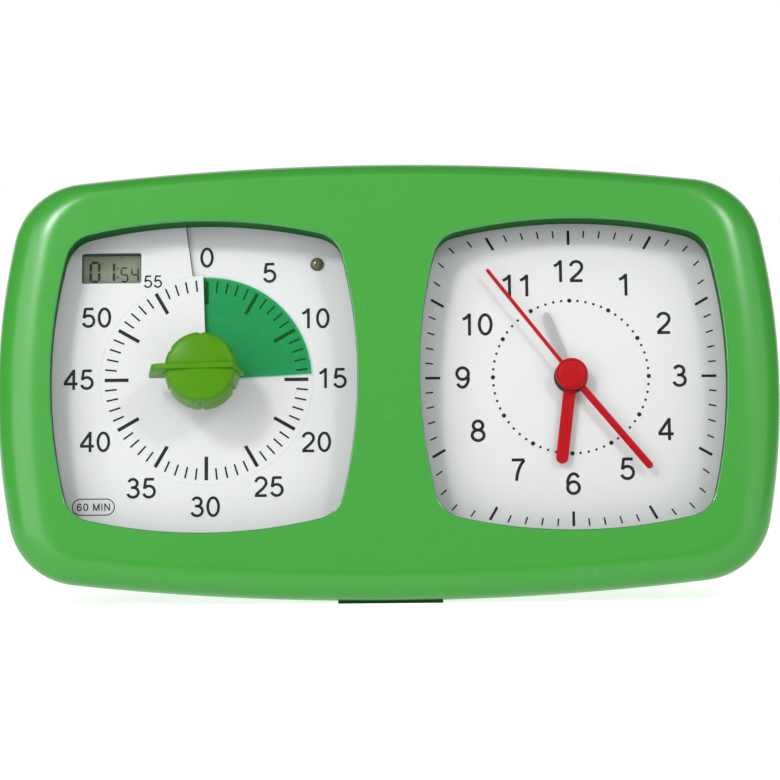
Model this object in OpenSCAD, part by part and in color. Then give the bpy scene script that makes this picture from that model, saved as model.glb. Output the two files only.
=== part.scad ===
// Desktop twin clock: a sixty-minute countdown timer beside a quartz alarm clock.
// One leaning case, two cushion-shaped windows, working gear trains behind them.
// Units are millimetres. Face frame: x right, y into the case, z up the face.

/* [Case] */
// Width of the case across the face
case_width = 272; // [227:1:326]
// Height of the case along the face
case_height = 156.4; // [130.4:0.2:187.6]
// Angle the face leans back from upright
lean = 12; // [8:0.5:18]
// Wall thickness of both case halves
wall = 2.4; // [1.8:0.1:3.2]
// Depth of the seam between bezel and rear cover
seam = 22; // [21:0.5:24]
// Depth of the case at the foot
base_depth = 60; // [56:1:72]
// Depth of the case at the top
top_depth = 42; // [40:1:50]
// Height of the case bottom above the floor
foot_gap = 0.7; // [0.5:0.1:2]

/* [Windows] */
// Window width
window_width = 106; // [88:0.5:118]
// Window height
window_height = 109.5; // [91:0.5:125]
// Radius of the bowed window sides
window_bow = 176; // [150:1:220]
// Corner radius of the windows
window_corner = 11; // [8:0.5:14]
// Lens thickness
lens_thick = 1.5; // [1.2:0.1:1.8]

/* [Timer] */
// Radius of the coloured time disc
disc_radius = 36.8; // [30:0.2:39]
// Rise of the dial and disc over one turn
disc_pitch = 2; // [1.8:0.1:2.4]
// Minutes shown by the disc at rest
minutes_shown = 14.5; // [5:0.5:55]
// Radius of the knob rim
knob_radius = 12.6; // [10.5:0.1:15.2]
// Height of the knob in front of the lens
knob_height = 16.6; // [13.3:0.1:19.9]

/* [Clock] */
// Length of the hour hand
hour_length = 30.7; // [25.6:0.1:36]
// Length of the minute hand
minute_length = 41.9; // [35:0.1:46]
// Length of the second hand
second_length = 46.9; // [39:0.1:49]
// Length of the alarm hand
alarm_length = 23.6; // [19:0.1:28]
// Edge length of the movement case
movement_size = 56; // [50:1:60]

/* [Hidden] */

hx = case_width / 2;
hz = case_height / 2;
wx = window_width / 2;
wz = window_height / 2;
win_x = case_width * 0.2349;
win_z = case_height * 0.0096;
ax_x = win_x - 0.2;
ax_z = win_z + 1;
frame_y = 17;
frame_thick = 2;
back_y = frame_y + frame_thick;
collar_y = 12.1;
lens_y = 5.7;
dial_y = 14;
sheet = 0.8;
film = 0.3;
fit = 0.06;
gap = 0.35;
arc_side = 215;
arc_top = 957;
corner = 25.5;
disc_r = min(disc_radius, wx * 0.7, wz * 0.7);
well_r = disc_r + 1.2;
shown = minutes_shown * 6;
spindle_r = 2.5;
hub_r = 7;
rise_z = hz * cos(lean) + foot_gap;
shift_y = -24.68;

// outline helpers
function fillet_at(a, b, ra, rb, rc) =
  let (ka = a - ra, kb = b - rb, d = norm([ka, kb]),
    pa = ra - rc, pb = rb - rc,
    k = (pa * pa - pb * pb + d * d) / (2 * d),
    h = sqrt(pa * pa - k * k))
  [ka - k * ka / d - h * kb / d, k * kb / d - h * ka / d];
function quarter(a, b, ra, rb, rc) =
  let (c = fillet_at(a, b, ra, rb, rc),
    s = atan2(c[1], c[0] - a + ra),
    t = atan2(c[1] - b + rb, c[0]))
  concat(
    [for (i = [0:2]) let (w = s * i / 3) [a - ra + ra * cos(w), ra * sin(w)]],
    [for (i = [0:6]) let (w = s + (t - s) * i / 6)
      [c[0] + rc * cos(w), c[1] + rc * sin(w)]],
    [for (i = [1:3]) let (w = t + (90 - t) * i / 3)
      [rb * cos(w), b - rb + rb * sin(w)]]);
function ring(a, b, c, ra, rb, rc) =
  let (p = quarter(a, b, ra, rb, rc), q = quarter(a, c, ra, rb, rc), n = len(p))
  concat(p,
    [for (i = [n - 2:-1:0]) [-p[i][0], p[i][1]]],
    [for (i = [1:n - 1]) [-q[i][0], -q[i][1]]],
    [for (i = [n - 2:-1:1]) [q[i][0], -q[i][1]]]);
function drop(y) = y * tan(lean);

// face frame to floor frame
module place() translate([0, shift_y, rise_z]) rotate([-lean, 0, 0]) children();
// a flat profile of the face given depth
module prism(y0, y1) translate([0, y1, 0]) rotate([90, 0, 0])
  linear_extrude(y1 - y0) children();
module rod(r, y0, y1) translate([0, y1, 0]) rotate([90, 0, 0])
  cylinder(h = y1 - y0, r = r, $fn = 48);
module at(x, z) translate([x, 0, z]) children();
module box(x0, x1, y0, y1, z0, z1) translate([x0, y0, z0])
  cube([x1 - x0, y1 - y0, z1 - z0]);
// one slice of the case
module slice(y, inx, top, low) prism(y, y + 0.5)
  polygon(ring(hx - inx, hz - top, hz - drop(y) - low,
    arc_side, arc_top, max(corner - inx / 2, 8)));
module bulge(y, g) prism(y, y + 0.5)
  translate([0, -(hz - drop(y)) + 26.5])
  polygon(ring(hx * 0.78 - g, 26 - g, 26 - g, arc_side, arc_top, 15 - g));
module front_form(g) hull() {
  slice(g, 9.5 + g, 5 + g, 7 + g);
  slice(1.2 + g, 6 + g, 2.6 + g, 4.4 + g);
  slice(3.6 + g, 2.6 + g, 0.8 + g, 1.9 + g);
  slice(8, g, g, g);
  slice(seam - 0.5 + (g > 0 ? 1 : 0), g, g, g);
}
module rear_form(g) hull() {
  slice(seam - (g > 0 ? 1 : 0), g, g, g);
  slice(32, 1.2 + g, 1.2 + g, g);
  slice(top_depth - 5 - g, 4 + g, 4 + g, g);
  slice(top_depth - 0.5 - g, 11 + g, 11 + g, g);
  bulge(base_depth - 2.5 - g, g);
  bulge(base_depth - 0.5 - g, g + 2);
}
module window(side, grow, y0, y1) at(side * win_x, win_z) prism(y0, y1)
  polygon(ring(wx + grow, wz + grow, wz + grow,
    window_bow, window_bow, window_corner + grow));

// fastening layout
case_points = [[hx - 15.5, hz * 0.6], [-hx + 15.5, hz * 0.6],
  [hx - 15.5, -hz * 0.56], [-hx + 15.5, -hz * 0.56], [0, hz - 9.5], [0, -hz * 0.42]];
post_ends = [36, 36, 36, 36, 37, base_depth - 21];
frame_points = [[0, hz * 0.5], [0, -hz * 0.2],
  [hx - 12.6, 0], [-hx + 12.6, 0]];
module spots(list) for (p = list) at(p[0], p[1]) children();

module front_bezel() color([0.33, 0.68, 0.30]) place() difference() {
  union() {
    difference() {
      front_form(0);
      front_form(wall);
    }
    for (s = [-1, 1]) window(s, 2, 1.2, collar_y);
    spots(case_points) rod(4, 4, seam);
    spots(frame_points) rod(3, 4, frame_y);
    for (p = [case_points[5], frame_points[0], frame_points[1]])
      at(p[0], p[1]) rod(3, 1, 8);
  }
  for (s = [-1, 1]) {
    window(s, 0, -1, lens_y + 0.01);
    window(s, 0.9, lens_y, seam);
  }
  spots(case_points) rod(1.5, 11, seam + 1);
  spots(frame_points) rod(1.2, 9, seam + 1);
}

bay_z = -hz + 43;
bay_x = 30;
bay_h = 17;
bay_y = base_depth - 20;
set_x = ax_x;
set_z = ax_z + 12;
alarm_z = ax_z - 11.25;
switch_z = ax_z + 17;
module rear_cover() color([0.28, 0.62, 0.27]) place() difference() {
  union() {
    difference() {
      rear_form(0);
      rear_form(wall);
    }
    for (i = [0:5]) at(case_points[i][0], case_points[i][1]) rod(4.4, seam, post_ends[i]);
    box(-bay_x - 5, bay_x + 5, bay_y - 1.6, base_depth - 0.6,
      bay_z - bay_h - 3.6, bay_z + bay_h + 2);
    spots([[ax_x - 30, switch_z], [-ax_x, switch_z]])
      box(-9, 9, 46, 49, -6.5, 6.5);
  }
  box(-bay_x, bay_x, bay_y, base_depth + 1, bay_z - bay_h, bay_z + bay_h);
  box(-bay_x - 1.2, bay_x + 1.2, base_depth - 2.2, base_depth + 1,
    bay_z - bay_h, bay_z + bay_h + 1.2);
  box(-bay_x - 1.2, bay_x + 1.2, base_depth - 2.9, base_depth + 1,
    bay_z - bay_h - 2, bay_z - bay_h + 1);
  translate([-bay_x - 3, base_depth - 1.3, bay_z - bay_h - 0.4]) rotate([0, 90, 0])
    cylinder(h = 2 * bay_x + 6, r = 0.8 + fit, $fn = 32);
  spots(case_points) {
    rod(1.6, seam - 1, base_depth);
    rod(3.3, 30, base_depth + 2);
  }
  at(set_x, set_z) rod(3.6, 40, base_depth);
  at(set_x, alarm_z) rod(3.2, 40, base_depth);
  spots([[ax_x - 30, switch_z], [-ax_x, switch_z]]) {
    box(-6.2, 6.2, 40, 60, -2.1, 2.1);
    box(-8, 8, 40, 47.2, -4.4, 4.4);
  }
  for (i = [-4:4]) at(-ax_x + i * 3.6, ax_z + 36) box(-0.8, 0.8, 30, 60, -8, 8);
}

module timer_lens() color([0.9, 0.95, 0.97, 0.25]) place() difference() {
  window(-1, 0.86, lens_y, lens_y + lens_thick);
  at(-ax_x, ax_z) rod(spindle_r + 2, 0, 20);
}
module clock_lens() color([0.9, 0.95, 0.97, 0.25]) place()
  window(1, 0.86, lens_y, lens_y + lens_thick);

module inner_frame() color([0.16, 0.17, 0.18]) place() difference() {
  prism(frame_y, back_y)
    polygon(ring(hx - wall - 2.2, hz - wall - 2.2, hz - wall - drop(seam) - 2.2,
      arc_side, arc_top, corner - 4));
  spots(case_points) rod(4.6, 0, 30);
  spots(frame_points) rod(1.35, 0, 30);
  at(-ax_x, ax_z) rod(hub_r + 3, 0, 30);
  at(ax_x, ax_z) rod(4.5, 0, 30);
  at(lcd_x, lcd_z) box(-11, 11, 0, 30, -6, 6);
  at(led_x, led_z) rod(3.6, 0, 30);
}

// timer dial and disc: matched one-turn ramps about the timer axis
function ramp(w) = dial_y + 0.9 - disc_pitch * w / 360;
// distance from the timer axis to the edge of a profile in one direction
function reach(p, w) = let (n = len(p), s = sin(w), c = cos(w))
  max([for (i = [0:n - 1]) let (a = p[i] - [0, ax_z - win_z] + [win_x - ax_x, 0] * -1,
    b = p[(i + 1) % n] - [0, ax_z - win_z] + [win_x - ax_x, 0] * -1,
    k = s * (b[1] - a[1]) - c * (b[0] - a[0]),
    t = abs(k) < 1e-9 ? -1 : (c * a[0] - s * a[1]) / k)
    t >= -1e-6 && t <= 1 + 1e-6 ?
      (a[0] + t * (b[0] - a[0])) * s + (a[1] + t * (b[1] - a[1])) * c : 0]);
module ramp_body(w0, w1, n, prof) {
  m = len(prof(w0));
  p = [for (i = [0:n]) let (w = w0 + (w1 - w0) * i / n)
    each [for (q = prof(w)) [q[0] * sin(w), q[1], q[0] * cos(w)]]];
  f = concat([[for (j = [m - 1:-1:0]) j]],
    [for (i = [0:n - 1], j = [0:m - 1], k = [0:1])
      let (a = m * i + j, b = m * i + (j + 1) % m)
      k == 0 ? [a, b, b + m] : [a, b + m, a + m]],
    [[for (j = [0:m - 1]) m * n + j]]);
  polyhedron(points = p, faces = f, convexity = 4);
}
lcd_x = -ax_x - wx * 0.606;
lcd_z = ax_z + wz * 0.714;
led_x = -ax_x + wx * 0.728;
led_z = ax_z + wz * 0.738;
dial_edge = ring(wx + 2.2, wz + 2.2, wz + 2.2, window_bow, window_bow, window_corner + 2.2);
dial_profile = function (w) let (y = ramp(w), e = reach(dial_edge, w))
  [[8.4, y - sheet / 2], [e, y - sheet / 2], [e, frame_y],
    [well_r, frame_y], [well_r, y + sheet / 2], [8.4, y + sheet / 2]];
module timer_dial() color([0.93, 0.93, 0.93]) place() difference() {
  at(-ax_x, ax_z) ramp_body(-1.6, 357.8, 72, dial_profile);
  at(lcd_x, lcd_z) {
    box(-10.35, 10.35, 5, 30, -5.25, 5.25);
    box(-12.2, 12.2, 14, 30, -7.2, 7.2);
  }
  at(led_x, led_z) rod(2.4, 5, 30);
}
module clock_dial() color([0.93, 0.93, 0.93]) place() difference() {
  window(1, 2.2, dial_y, frame_y);
  window(1, -2, dial_y + 1.2, frame_y + 1);
  at(ax_x, ax_z) rod(4.5, 0, 30);
}
disc_profile = function (w) let (y = ramp(w) - disc_pitch / 2)
  [[hub_r - 0.02, y - film / 2], [disc_r, y - film / 2],
    [disc_r, y + film / 2], [hub_r - 0.02, y + film / 2]];
module time_disc() color([0.12, 0.6, 0.38, 0.5]) place() at(-ax_x, ax_z)
  ramp_body(shown - 359, shown, 60, disc_profile);
disc_top = ramp(shown) - disc_pitch / 2;
module disc_hub() color([0.15, 0.15, 0.15]) place() at(-ax_x, ax_z) difference() {
  rod(hub_r, disc_top - 0.4, disc_top + disc_pitch + 0.5);
  rod(spindle_r + fit, 0, 30);
}

module timer_knob() color([0.45, 0.72, 0.26]) place() at(-ax_x, ax_z)
  rotate([0, shown, 0]) difference() {
    union() {
      rotate([90, 0, 0]) rotate_extrude($fn = 72) polygon([
        [0, -5.2], [knob_radius - 0.5, -5.2], [knob_radius, -3.6], [knob_radius, -2],
        [knob_radius - 0.4, 2], [knob_radius - 1, knob_height - 7.4],
        [knob_radius - 1.3, knob_height - 6.4], [knob_radius - 1.8, knob_height - 5.5],
        [knob_radius - 2.8, knob_height - 5.2], [0, knob_height - 5.2]]);
      translate([1, 0, 0]) rotate([0, -90, 0]) linear_extrude(2) polygon([
        [-knob_radius * 1.24, 5.6 - knob_height], [-knob_radius * 1.17, 4.6 - knob_height],
        [knob_radius * 0.84, 4.6 - knob_height], [knob_radius * 0.92, 5.2 - knob_height],
        [knob_radius * 1.13, 1], [knob_radius * 1.13, 4.6],
        [-knob_radius * 1.41, 4.6]]);
    }
    rod(spindle_r, -5, 10);
    for (i = [0:5]) rotate([0, 60 * i + 33, 0]) translate([0, 2.9, knob_radius])
      rotate([90, 0, 0]) cylinder(h = 8, r = 1, $fn = 24);
  }
module timer_spindle() color([0.7, 0.7, 0.72]) place() at(-ax_x, ax_z)
  rod(spindle_r, -5, 28);

// involute gear profile
function inv(r, rb) = r <= rb ? 0 : sqrt(r * r / rb / rb - 1) * 180 / PI - acos(rb / r);
function gear(n, m, add) =
  let (rp = n * m / 2, rb = rp * cos(20), r0 = rp - 1.2 * m, r1 = rp + add * m,
    base = max(rb, r0), e = 82 / n + inv(rp, rb),
    rr = [r0, base, base + (r1 - base) / 3, base + (r1 - base) * 2 / 3, r1])
  [for (i = [0:n - 1], j = [0:9])
    let (k = j < 5 ? j : 9 - j, r = rr[k], w = e - inv(r, rb),
      u = 360 * i / n + (j < 5 ? -w : w))
    [r * cos(u), r * sin(u)]];
module wheel(n, m, add, turn, y0, y1) prism(y0, y1) rotate(turn) polygon(gear(n, m, add));

gear_z = 25.6;
module timer_housing() color([0.85, 0.85, 0.82]) place() at(-ax_x, ax_z) difference() {
  box(-26, 26, back_y, 29, -36, 25);
  box(-24.4, 24.4, back_y + 1.6, 30, -34.4, 23.4);
  rod(spindle_r + fit, 0, 40);
  at(0, -gear_z) rod(1.2 + fit, back_y + 0.6, 40);
}
module timer_cover() color([0.82, 0.82, 0.80]) place() at(-ax_x, ax_z) difference() {
  box(-26, 26, 29, 30.6, -36, 25);
  rod(spindle_r + fit, 27, 40);
  at(0, -gear_z) rod(1.2 + fit, 20, 40);
}
module timer_wheel() color([0.95, 0.93, 0.88]) place() at(-ax_x, ax_z) difference() {
  union() {
    wheel(48, 0.8, 0.9, 270, 22.4, 24.8);
    rod(6, 20.9, 27.8);
  }
  rod(spindle_r, 0, 40);
}
module motor_pinion() color([0.9, 0.75, 0.35]) place() at(-ax_x, ax_z - gear_z) {
  wheel(16, 0.8, 0.9, 101.25, 22, 25.4);
  rod(1.2, 20, 36);
}
module timer_motor() color([0.72, 0.73, 0.75]) place() at(-ax_x, ax_z - gear_z) difference() {
  union() {
    rod(9.5, 30.6, 42);
    box(-14, 14, 30.6, 31.8, -4, 4);
  }
  rod(1.2 + fit, 20, 37);
}

module circuit_board() color([0.1, 0.38, 0.2]) place() difference() {
  box(lcd_x - 14, led_x + 7, back_y, back_y + 1.6, lcd_z - 10, lcd_z + 9);
  at(0, 0) spots(case_points) rod(5, 0, 30);
}
module lcd_panel() color([0.42, 0.48, 0.38]) place() at(lcd_x, lcd_z)
  box(-12, 12, 14, 16.2, -7, 7);
module lcd_holder() color([0.12, 0.12, 0.12]) place() at(lcd_x, lcd_z) difference() {
  box(-10.6, 10.6, 16.2, back_y, -5.7, 5.7);
  box(-8.6, 8.6, 17.2, back_y + 1, -3.7, 3.7);
}
module indicator_led() color([0.4, 0.42, 0.25]) place() at(led_x, led_z)
  rotate([90, 0, 0]) rotate_extrude($fn = 40) polygon([
    [0, -back_y], [2.6, -back_y], [2.6, -back_y + 1], [2.25, -back_y + 1], [2.25, -13.9],
    [2.08, -13.3], [1.6, -12.75], [0.9, -12.4], [0, -12.3]]);
module buzzer() color([0.1, 0.1, 0.1]) place() at(-ax_x, lcd_z) difference() {
  rod(8.5, back_y + 1.6, 27);
  rod(1.5, 25, 30);
}

// clock movement
mh = movement_size / 2;
r_sec = 0.6;
r_min = 1.5;
r_hour = 2.4;
r_alarm = 3.2;
module movement_case() color([0.12, 0.12, 0.13]) place() at(ax_x, ax_z) difference() {
  union() {
    box(-mh, mh, back_y, 32.5, -mh, mh);
    rod(4.5, 13.2, back_y + 1);
    translate([0, 0, 0]) rod(4.5, 13.2, back_y + 1);
  }
  box(-mh + 1.5, mh - 1.5, back_y + 1.5, 33, -mh + 1.5, mh - 1.5);
  rod(r_alarm + fit, 10, 30);
  at(0, 12) rod(1.2 + fit, back_y + 0.6, 30);
  at(0, -11.25) rod(1.2 + fit, back_y + 0.6, 30);
}
module movement_cover() color([0.14, 0.14, 0.15]) place() at(ax_x, ax_z) difference() {
  box(-mh, mh, 32.5, 34, -mh, mh);
  at(0, 12) rod(1.2 + fit, 30, 40);
  at(0, -11.25) rod(1.2 + fit, 30, 40);
  rod(r_sec + fit, 30, 40);
}
module movement_nut() color([0.62, 0.52, 0.3]) place() at(ax_x, ax_z) difference() {
  translate([0, dial_y, 0]) rotate([90, 0, 0]) cylinder(h = 0.75, r = 6.6, $fn = 6);
  rod(4.5, 10, 30);
}
module alarm_wheel() color([0.93, 0.93, 0.9]) place() at(ax_x, ax_z) difference() {
  union() {
    wheel(30, 0.5, 0.9, 270, 20.8, 21.7);
    rod(r_alarm, 12, 21);
  }
  rod(r_hour + fit, 0, 40);
}
module hour_wheel() color([0.93, 0.93, 0.9]) place() at(ax_x, ax_z) difference() {
  union() {
    wheel(40, 0.48, 0.75, 90, 22.1, 23.1);
    rod(r_hour, 10.7, 22.5);
  }
  rod(r_min + fit, 0, 40);
}
module minute_wheel() color([0.85, 0.72, 0.4]) place() at(ax_x, ax_z) difference() {
  union() {
    wheel(12, 0.5, 0.9, 90, 23.6, 25.4);
    rod(r_min, 9.5, 26.6);
  }
  rod(r_sec + fit, 0, 40);
}
module setting_wheel() color([0.93, 0.93, 0.9]) place() at(ax_x, ax_z + 12) union() {
  wheel(10, 0.48, 0.9, 288, 21.9, 23.5);
  wheel(36, 0.5, 0.75, 275, 23.8, 25.2);
  rod(1.2, 19.9, 56);
}
module second_wheel() color([0.85, 0.72, 0.4]) place() at(ax_x, ax_z) union() {
  rod(r_sec, 8.4, 33.2);
  wheel(40, 0.4, 0.9, 0, 27.4, 28.2);
  rod(2, 27, 30);
}
module alarm_pinion() color([0.93, 0.93, 0.9]) place() at(ax_x, alarm_z) union() {
  wheel(15, 0.5, 0.9, 102, 20.8, 22);
  rod(1.2, 19.9, 59);
}
module movement_coil() color([0.72, 0.4, 0.2]) place() at(ax_x, ax_z - 20) {
  translate([-10, 26.5, 0]) rotate([0, 90, 0]) cylinder(h = 20, r = 3.2, $fn = 32);
  box(-13, -10, 22, 32.5, -4.5, 4.5);
  box(10, 13, 22, 32.5, -4.5, 4.5);
}

// hands, drawn pointing up and then turned to the hour
module tapered(l, w, tail) union() {
  translate([-w / 2, -tail]) square([w, l + tail - w / 2]);
  translate([0, l - w / 2]) circle(r = w / 2, $fn = 32);
}
module hand(l, w, tail, boss, bore, turn, y0, y1) place() at(ax_x, ax_z)
  rotate([0, turn, 0]) prism(y0, y1) difference() {
    union() {
      tapered(l, w, tail);
      circle(r = boss, $fn = 48);
    }
    circle(r = bore, $fn = 48);
  }
module alarm_hand() color([0.75, 0.76, 0.78])
  hand(alarm_length, 1.7, 0, 4.2, r_alarm, 336.5, 12.15, 12.55);
module hour_hand() color([0.75, 0.1, 0.14])
  hand(hour_length, 4.1, 0, 3.8, r_hour, 187, 10.95, 11.4);
module minute_hand() color([0.75, 0.1, 0.14])
  hand(minute_length, 2.2, 0, 3.4, r_min, 139.5, 9.75, 10.2);
module second_hand() color([0.75, 0.1, 0.14])
  hand(second_length, 1.05, 6, 2.4, r_sec, 321.4, 8.95, 9.25);
module second_cap() color([0.75, 0.1, 0.14]) place() at(ax_x, ax_z) difference() {
  rotate([90, 0, 0]) rotate_extrude($fn = 64) polygon([
    [0, -8.95], [5.6, -8.95], [5.6, -8.3], [5.4, -7.9], [4.9, -7.66], [4.2, -7.56], [0, -7.5]]);
  rod(r_sec, 8.4, 12);
}

// back controls
module grip(r, n, y0, y1) difference() {
  rod(r, y0, y1);
  for (i = [0:n - 1]) rotate([0, 360 * i / n, 0]) translate([0, y1 + 1, r + 0.35])
    rotate([90, 0, 0]) cylinder(h = y1 - y0 + 2, r = 0.9, $fn = 16);
}
module time_set_knob() color([0.12, 0.12, 0.12]) place() at(set_x, set_z) difference() {
  union() {
    grip(9, 20, 56.2, 60.6);
    rod(3.2, 36, 57);
  }
  rod(1.2, 30, 56);
}
module alarm_set_knob() color([0.12, 0.12, 0.12]) place() at(set_x, alarm_z) difference() {
  union() {
    grip(7, 16, base_depth + 0.7, base_depth + 4.3);
    rod(2.8, 36, base_depth + 1.5);
  }
  rod(1.2, 30, 59);
}
module slider(x) place() at(x - 2.9, switch_z) union() {
  box(-3, 3, 46, 54, -2, 2);
  box(-5, 5, 46, 47.1, -4.2, 4.2);
  for (i = [-1:1]) translate([i * 1.6 - 0.3, 53.9, -2]) cube([0.6, 0.6, 4]);
}
module alarm_switch() color([0.85, 0.2, 0.15]) slider(ax_x - 30);
module volume_switch() color([0.15, 0.15, 0.16]) slider(-ax_x);

// power
module battery_door() color([0.28, 0.62, 0.27]) place() difference() {
  union() {
    box(-bay_x - 0.9, bay_x + 0.9, base_depth - 2.1, base_depth - 0.3,
      bay_z - bay_h - 1.2, bay_z + bay_h + 0.9);
    translate([-bay_x - 2.6, base_depth - 1.3, bay_z - bay_h - 0.4]) rotate([0, 90, 0])
      cylinder(h = 2 * bay_x + 5.2, r = 0.8, $fn = 32);
    box(-6, 6, base_depth - 5, base_depth - 2.1, bay_z + bay_h - 3, bay_z + bay_h - 1.6);
  }
  for (i = [0:4]) at(0, bay_z + 6 + i * 1.9)
    box(-8, 8, base_depth - 0.9, base_depth, -0.4, 0.4);
}
module cell(z, flip) place() translate([0, bay_y + 7.3, z]) rotate([0, 90 * flip, 0])
  rotate_extrude($fn = 48) polygon([[0, -24.75], [6.2, -24.75], [7.05, -24.5],
    [7.25, -24], [7.25, 23.4], [7, 24], [6, 24.3], [2.75, 24.3], [2.75, 25.6], [0, 25.6]]);
module battery_upper() color([0.15, 0.35, 0.6]) cell(bay_z + 8.2, 1);
module battery_lower() color([0.15, 0.35, 0.6]) cell(bay_z - 8.2, -1);
module battery_contacts() color([0.8, 0.8, 0.78]) place() for (s = [-1, 1]) {
  box(s * 29.8 - 0.2, s * 29.8 + 0.2, bay_y, bay_y + 14, bay_z - 14, bay_z + 14);
  for (t = [-1, 1]) box(s * 27.8 - 1.9, s * 27.8 + 1.9, bay_y + 5.8, bay_y + 8.8,
    bay_z + t * 8.2 - 2.4, bay_z + t * 8.2 + 2.4);
}

module screw(y0, y1, r, head, thick) difference() {
  union() {
    rod(r, y0, y1);
    rod(head, y1, y1 + thick);
  }
  box(-head * 0.6, head * 0.6, y1 + thick - 0.8, y1 + thick + 1, -0.35, 0.35);
  box(-0.35, 0.35, y1 + thick - 0.8, y1 + thick + 1, -head * 0.6, head * 0.6);
}
module case_screws() color([0.6, 0.6, 0.62]) place() spots(case_points)
  screw(12, 30, 1.5, 3, 2);
module frame_screws() color([0.6, 0.6, 0.62]) place() spots(frame_points)
  screw(10, back_y, 1.2, 2.6, 1.6);

// feet lie flat on the floor
module front_foot() color([0.1, 0.1, 0.1])
  foot(18, 8, 16);
module rear_foot() color([0.1, 0.1, 0.1])
  foot(30, base_depth - 17, base_depth - 9);
module foot(half, y0, y1) difference() {
  translate([-half, foot_y(y0), 0]) cube([2 * half, foot_y(y1) - foot_y(y0), 3]);
  place() rear_form(0);
  place() front_form(0);
  place() translate([0, 30, 0]) cube([2 * hx - 20, 2 * seam, 2 * (hz - drop(30)) - 6],
    center = true);
}
function foot_y(y) = shift_y + y * cos(lean) - (hz - drop(y)) * sin(lean);

front_bezel();
rear_cover();
timer_lens();
clock_lens();
inner_frame();
timer_dial();
clock_dial();
time_disc();
disc_hub();
timer_knob();
timer_spindle();
timer_housing();
timer_cover();
timer_wheel();
motor_pinion();
timer_motor();
circuit_board();
lcd_panel();
lcd_holder();
indicator_led();
buzzer();
movement_case();
movement_cover();
movement_nut();
minute_wheel();
setting_wheel();
hour_wheel();
second_wheel();
alarm_wheel();
alarm_pinion();
movement_coil();
hour_hand();
minute_hand();
second_hand();
second_cap();
alarm_hand();
time_set_knob();
alarm_set_knob();
alarm_switch();
volume_switch();
battery_door();
battery_upper();
battery_lower();
battery_contacts();
case_screws();
frame_screws();
front_foot();
rear_foot();
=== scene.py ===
import bpy
import bmesh
import math
from mathutils import Matrix, Vector


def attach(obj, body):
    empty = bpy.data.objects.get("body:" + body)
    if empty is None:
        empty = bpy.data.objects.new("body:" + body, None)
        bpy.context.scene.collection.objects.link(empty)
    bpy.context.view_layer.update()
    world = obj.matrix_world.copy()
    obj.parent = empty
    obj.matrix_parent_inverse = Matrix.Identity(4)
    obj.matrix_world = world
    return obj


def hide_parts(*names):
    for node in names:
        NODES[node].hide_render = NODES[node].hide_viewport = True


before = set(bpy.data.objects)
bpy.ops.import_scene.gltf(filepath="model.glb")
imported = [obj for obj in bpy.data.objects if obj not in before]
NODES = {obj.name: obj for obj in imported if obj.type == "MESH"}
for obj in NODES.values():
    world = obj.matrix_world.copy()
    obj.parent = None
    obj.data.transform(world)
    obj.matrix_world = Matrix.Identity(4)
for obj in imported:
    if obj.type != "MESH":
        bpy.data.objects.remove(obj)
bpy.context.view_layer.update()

# The face frame of the case, in millimetres: x right, y into the case, z up the face.
LEAN = math.radians(12)                  # the case leans back
HX, HZ = 136.0, 78.2                     # half width and half height of the case
SHIFT, RISE = -24.68, HZ * math.cos(LEAN) + 0.7
SIDE_BOW, SIDE_BOW_FRONT, TOP_BOW = 215.0, 260.0, 957.0    # arc radii of the outline
CORNER = 25.5                            # corner radius of the outline
WX, WZ = 53.0, 54.75                     # half size of a window
WINDOW_BOW, WINDOW_CORNER = 176.0, 11.0
WIN_X, WIN_Z = 2 * HX * 0.2349, 2 * HZ * 0.0096            # window centres
AX_X, AX_Z = WIN_X - 0.2, WIN_Z + 1      # axes of the timer and the clock
SEAM, LENS_Y, COLLAR_Y, DIAL_Y, FRAME_Y = 22.0, 5.7, 12.1, 14.0, 17.0
PITCH, SHOWN, DISC_R = 2.0, 87.0, 36.8   # disc rise per turn, angle shown, disc radius
KNOB_R, KNOB_H = 12.9, 16.6
DIAL_GROW = 2.2                          # the dials reach this far behind the window walls
STEP_R = 37.3                            # the timer dial's inner plate ends here
CARD_HALF = 0.4                          # the card's front lies this far before the ramp
PRINT_LIFT = 0.035                       # ink in front of its card
INNER_START, OUTER_START = -1.6, -7.4    # where the two ramps of the timer dial begin
FACE = (Matrix.Translation((0, SHIFT / 1000, RISE / 1000))
        @ Matrix.Rotation(-LEAN, 4, "X") @ Matrix.Scale(0.001, 4))


# ---------------------------------------------------------------- mesh helpers
def finish_mesh(name, me, mat, body, nodes=(), angle=35, weighted=False):
    """Shades a mesh, gives it its materials, and hands it to its body."""
    me.validate()
    for p in me.polygons:
        p.use_smooth = True
    me.set_sharp_from_angle(angle=math.radians(angle))
    ob = bpy.data.objects.new(name, me)
    bpy.context.scene.collection.objects.link(ob)
    for m in (mat if isinstance(mat, (list, tuple)) else [mat]):
        me.materials.append(m)
    if weighted:
        w = ob.modifiers.new("even", "WEIGHTED_NORMAL")
        w.keep_sharp = True
    if nodes:
        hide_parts(*nodes)
    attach(ob, body)
    return ob


def build(name, verts, faces, mat, body, nodes=(), angle=35, xf=FACE, recalc=True):
    """A piece from points in millimetres, placed by xf."""
    bm = bmesh.new()
    vs = [bm.verts.new(xf @ Vector(v)) for v in verts]
    for f in faces:
        bm.faces.new([vs[j] for j in f])
    if recalc:
        bmesh.ops.recalc_face_normals(bm, faces=bm.faces)
    me = bpy.data.meshes.new(name)
    bm.to_mesh(me)
    bm.free()
    return finish_mesh(name, me, mat, body, nodes, angle)


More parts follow.
